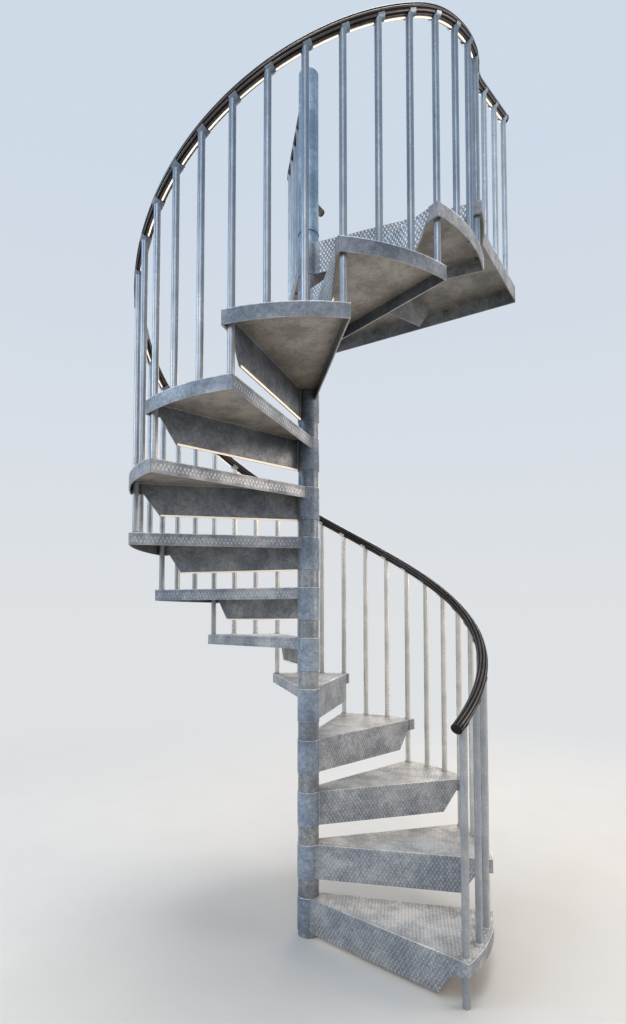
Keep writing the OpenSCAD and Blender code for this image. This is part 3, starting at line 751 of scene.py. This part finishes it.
# Weld seams: thickness by place, how far each stands out, and where it starts and ends
seams = {"hub": 0.0026, "rim": 0.0018, "under": 0.0020, "wave": 0.3, "underWave": 0.2, "frontOut": 0.0008,
         "backOut": 0.0012, "rearOut": 0.0006, "sideOut": 0.0004, "behind": 0.001, "innerOut": 0.0006,
         "lugOut": 0.0016, "short": 0.004, "backFrom": 0.009, "innerFrom": 0.020, "innerTo": 0.690,
         "lugFrom": 0.003, "rearTo": 0.047, "rimIn": 0.0062, "rimFrom": 1.5, "rimTo": 1.0, "rimSteps": 60}


def seamLines(k):
    deep, t, edge = tread["depth"], tread["plateT"], tread["edgeSet"]
    noseHub, noseRim = noseLine(0)
    u = (noseRim - noseHub).normalized()
    v = rising.cross(u)
    hubX = math.sqrt(stair["hubR"] ** 2 - edge ** 2)
    backX = math.sqrt(stair["hubR"] ** 2 - (edge - t) ** 2)
    front = Vector((hubX + seams["frontOut"], -edge - seams["sideOut"], 0))
    back = Vector((backX + seams["backOut"], -edge + t + seams["behind"], 0))
    lines = [(front - rising * seams["short"], front - rising * (deep - seams["short"]), seams["hub"]),
             (back - rising * seams["backFrom"], back - rising * (deep - seams["short"]), seams["hub"])]
    inner = noseHub + (v - rising) * (t + seams["innerOut"])
    lines.append((inner + u * seams["innerFrom"], inner + u * seams["innerTo"], seams["under"]))
    lug = noseRim - u * tread["lugRun"] - v * seams["lugOut"]
    lines.append((lug - rising * seams["lugFrom"], lug - rising * tread["rimDepth"], seams["rim"]))
    if k <= stair["treads"]:
        rear = at(hubX + seams["rearOut"], tread["span"]) + at(edge + seams["sideOut"], tread["span"] + 90)
        lines.append((rear - rising * seams["short"], rear - rising * seams["rearTo"], seams["hub"]))
    return lines


def beads(name, lines, material):
    settle(clean(curvePiece(name, lines)), name, material, smooth=True)


welds = []
for k in range(1, stair["treads"] + 2):
    for start, end, r in seamLines(k):
        welds.append(wavered([treadPlace(k) @ p for p in straight(start, end)], r, seams["wave"]))
    if k <= stair["treads"]:
        inside = arc(stair["radius"] - seams["rimIn"], seams["rimFrom"], tread["span"] - seams["rimTo"],
                     -tread["plateT"] - seams["innerOut"], seams["rimSteps"])
        welds.append(wavered([treadPlace(k) @ p for p in inside], seams["under"], seams["underWave"]))
beads("weldSeams", welds, seamZinc)

# Joint rings of the sleeves; landing ones give radius beyond the sleeve, height and thickness
rings = {"thick": 0.0013, "wave": 0.3, "out": 0.0004, "gap": 0.0003,
         "landing": ((0.0005, 0.056, 0.0020), (-0.0003, 0.170, 0.0007))}
joints = []
for k in range(1, stair["treads"] + 2):
    for z in (treadZ(k) + rings["gap"], treadZ(k) - tread["depth"] - rings["gap"]):
        around = circle(stair["sleeveR"] + rings["out"], z)
        joints.append(wavered(around, rings["thick"], rings["wave"], closed=True))
for out, height, thick in rings["landing"]:
    joints.append(wavered(circle(stair["sleeveR"] + out, landingZ + height), thick, closed=True))
beads("sleeveJoints", joints, jointZinc)

# Rounded folds along the noses, rims, lugs and rear edges, coloured pale as a painted highlight
folds = {"bead": 0.0016, "hubShare": 0.9, "hubIn": 0.0008, "hubLow": 0.0010, "inset": 0.0007,
         "noseFrom": 0.012, "short": 0.001, "rimIn": 0.0009, "rearShare": 0.02, "wellShare": 0.03,
         "cornerLift": 0.0004, "rimSteps": 14}
bent, inset, rimR = [], folds["inset"], stair["radius"] - folds["rimIn"]
for k in range(1, stair["treads"] + 2):
    around = circle(stair["hubR"] - folds["hubIn"], treadZ(k) - folds["hubLow"])
    bent.append(wavered(around, folds["bead"] * folds["hubShare"], closed=True))
    noseHub, noseRim = noseLine(0)
    u = (noseRim - noseHub).normalized()
    nose = (rising.cross(u) - rising) * inset
    lines = [[noseHub + u * folds["noseFrom"] + nose, noseRim - u * folds["short"] + nose]]
    if k <= stair["treads"]:
        lines.append(arc(rimR, 0, tread["span"], -inset))
        rearHub = at(hubReach, tread["span"]) + at(tread["edgeSet"], tread["span"] + 90)
        rearIn = at(inset, tread["span"] - 90) - rising * inset
        lines.append([rearHub.lerp(at(stair["radius"], tread["span"]), folds["rearShare"]) + rearIn,
                      at(stair["radius"] - folds["short"], tread["span"]) + rearIn])
    for line in lines:
        bent.append(wavered([treadPlace(k) @ p for p in line], folds["bead"]))
kAngle, foldZ = math.degrees(math.atan2(cornerK.y, cornerK.x)), landingZ - inset
bent.append(wavered(arc(rimR, stair["landingAngle"], kAngle, foldZ, folds["rimSteps"]), folds["bead"]))
rim = [cornerK + Vector((-inset, folds["short"], foldZ)),
       Vector((landing["right"] - inset, landing["reach"] - folds["rimIn"], foldZ)),
       Vector((inset - landing["left"], landing["reach"] - folds["rimIn"], foldZ)),
       cornerC + Vector((inset, folds["cornerLift"], foldZ)),
       wellHub.lerp(cornerC, folds["wellShare"]) + guardIn * folds["rimIn"] + rising * foldZ]
bent += [wavered([start, end], folds["bead"]) for start, end in zip(rim, rim[1:])]
beads("foldedEdges", bent, paleFoldHighlightZinc)
print("seams and edges laid")


# Baluster feet: a pressed collar on the plate, a washer and a hexagon bolt head beneath it
feet = {"collar": ((0, 0.0165), (0.0014, 0.0165), (0.0026, 0.0153), (0.0056, 0.0136), (0.0064, 0.0128)),
        "washer": ((-0.0070, 0.0120), (-0.0051, 0.0120)),
        "head": ((-0.0136, 0.0085), (-0.0130, 0.0096), (-0.0070, 0.0096)),
        "bigWasher": ((0, 0.0145), (0.0025, 0.0145)),
        "bigHead": ((0.0025, 0.0120), (0.0110, 0.0120), (0.0118, 0.0108)), "round": 24, "hexagon": 6}
collarsAt, boltsAt, landingBoltsAt = [], [], []


def foot(spot, z, under=True, scale=1.0):
    where = Matrix.Translation((spot.x, spot.y, z))
    collarsAt.append(where @ Matrix.Diagonal((scale, scale, 1, 1)))
    if under:
        boltsAt.append(where)


for k in range(1, stair["treads"] + 1):
    for i in (1, 2):
        foot(at(posts["radius"], treadAngle(k) + stair["cornerSet"] + i * stair["turn"] / 3), treadZ(k))
    foot(at(posts["radius"], treadAngle(k + 1) + stair["cornerSet"]), treadZ(k), under=False)
    if k > 1:
        foot(at(posts["radius"], treadAngle(k) + stair["cornerSet"]), treadZ(k), under=False)
foot(at(posts["radius"], firstAngle + stair["firstSet"]), treadZ(1), under=False,
     scale=posts["firstR"] / posts["r"])
foot(at(posts["radius"], stair["landingAngle"] + stair["cornerSet"]), landingZ, under=False)
foot(at(posts["radius"], stair["landingAngle"] + stair["cornerSet"] + stair["turn"] / 3), landingZ)
for spot in sidePosts() + guardPosts():
    foot(spot, landingZ)
for x in landing["boltsAt"]:
    where = Matrix.Translation((x, landing["reach"] - tread["plateT"], landingZ - landing["boltDrop"]))
    landingBoltsAt.append(where @ Matrix.Rotation(math.radians(90), 4, "X"))
collar = turned(feet["collar"], feet["round"])
settle(copies([(collar, collarsAt)]), "balusterCollars", seamZinc)
bolts = copies([(turned(feet["washer"], feet["round"]), boltsAt),
                (turned(feet["head"], feet["hexagon"]), boltsAt),
                (turned(feet["bigWasher"], feet["round"]), landingBoltsAt),
                (turned(feet["bigHead"], feet["hexagon"]), landingBoltsAt)])
settle(bolts, "boltHeads", nutZinc)
print("feet and bolts made")

# Floor: pale, fading into the backdrop far away
stage = {"low": (0.56, 0.54, 0.51), "high": (0.58, 0.56, 0.53), "horizon": (0.74, 0.76, 0.78),
         "near": 1.2, "far": 6.0, "size": 60}
floorMaterial, tree, surface = shader("paleFloor")
spot = add(tree, "ShaderNodeTexCoord").outputs["Object"]
speck = mottle(tree, spot, 3.0, 5.0)
tree.links.new(ramp(tree, speck, [(0.3, stage["low"]), (0.7, stage["high"])]), surface.inputs["Base Color"])
surface.inputs["Roughness"].default_value = 0.85
distance = add(tree, "ShaderNodeVectorMath", {0: spot}, operation="LENGTH").outputs["Value"]
fade = add(tree, "ShaderNodeMapRange", {"Value": distance, "From Min": stage["near"],
                                        "From Max": stage["far"]}, interpolation_type="SMOOTHSTEP").outputs[0]
glow = add(tree, "ShaderNodeEmission", {"Color": (*stage["horizon"], 1), "Strength": 1.0}).outputs[0]
mixed = add(tree, "ShaderNodeMixShader", {0: fade, 1: surface.outputs[0], 2: glow}).outputs[0]
tree.links.new(mixed, tree.nodes["Material Output"].inputs["Surface"])
bpy.ops.object.select_all(action="DESELECT")
bpy.ops.mesh.primitive_plane_add(size=stage["size"])
floor = bpy.context.object
floor.name = "floor"
floor.data.materials.append(floorMaterial)

# World: soft light on the object, and the backdrop for the camera and for reflections
world = bpy.data.worlds.new("studio")
bpy.context.scene.world = world
world.use_nodes = True
tree = world.node_tree
tree.nodes.clear()
direction = add(tree, "ShaderNodeTexCoord").outputs["Generated"]
level = swing(tree, add(tree, "ShaderNodeSeparateXYZ", {0: direction}).outputs["Z"], 0.5)
level = maths(tree, "ADD", level, 0.75)
sky = ramp(tree, level, [(0.42, (0.52, 0.47, 0.42)), (0.55, (0.52, 0.55, 0.60)), (1.0, (0.46, 0.58, 0.74))])
seen = ramp(tree, level, [(0.5, stage["horizon"]), (0.8, (0.62, 0.70, 0.80))])
rays = add(tree, "ShaderNodeLightPath").outputs
rays = maths(tree, "MAXIMUM", rays["Is Camera Ray"], rays["Is Glossy Ray"])
light = add(tree, "ShaderNodeBackground", {"Color": sky, "Strength": 0.62})
backdrop = add(tree, "ShaderNodeBackground", {"Color": seen, "Strength": 1.0})
both = add(tree, "ShaderNodeMixShader", {0: rays, 1: light.outputs[0], 2: backdrop.outputs[0]})
add(tree, "ShaderNodeOutputWorld", {0: both.outputs[0]})

# Each lamp's place, aim, size, power and colour
lamps = {"keyLight": ((3.0, -5.6, 6.0), (0, 0, 1.4), (4, 4), 190, (1.0, 0.98, 0.96)),
         "warmLight": ((6.5, 3.2, 3.6), (0, 0, 1.4), (3.5, 4), 270, (1.0, 0.84, 0.68)),
         "coolLight": ((-4.6, -5.6, 5.0), (0, 0, 1.8), (4, 4), 310, (0.62, 0.80, 1.0)),
         "backLight": ((-1.5, 7.0, 4.6), (0, 0, 1.6), (5, 4), 230, (1.0, 0.88, 0.75)),
         "topLight": ((0.5, 0.5, 16), (0, 0, 0), (8, 8), 1420, (1.0, 0.99, 0.98))}
for name, (where, aim, size, power, colour) in lamps.items():
    data = bpy.data.lights.new(name, "AREA")
    data.shape, data.size, data.size_y = "RECTANGLE", size[0], size[1]
    data.energy, data.color = power, colour
    made = bpy.data.objects.new(name, data)
    made.location = where
    made.rotation_euler = (Vector(aim) - Vector(where)).to_track_quat("-Z", "Y").to_euler()
    bpy.context.scene.collection.objects.link(made)

shot = {"sensor": 36.0, "lens": 21.01, "shift": (0.0023, 0.0768), "place": (1.418, -2.159, 1.3206),
        "tilt": 92.755, "turn": 33.09, "farthest": 200}
camera = bpy.data.cameras.new("camera")
camera.sensor_fit, camera.sensor_width, camera.lens = "AUTO", shot["sensor"], shot["lens"]
camera.shift_x, camera.shift_y = shot["shift"]
camera.clip_end = shot["farthest"]
viewer = bpy.data.objects.new("camera", camera)
viewer.location = shot["place"]
viewer.rotation_euler = (math.radians(shot["tilt"]), 0, math.radians(shot["turn"]))
bpy.context.scene.collection.objects.link(viewer)
bpy.context.scene.camera = viewer
bpy.context.scene.view_settings.view_transform = "Standard"
print("stage set")
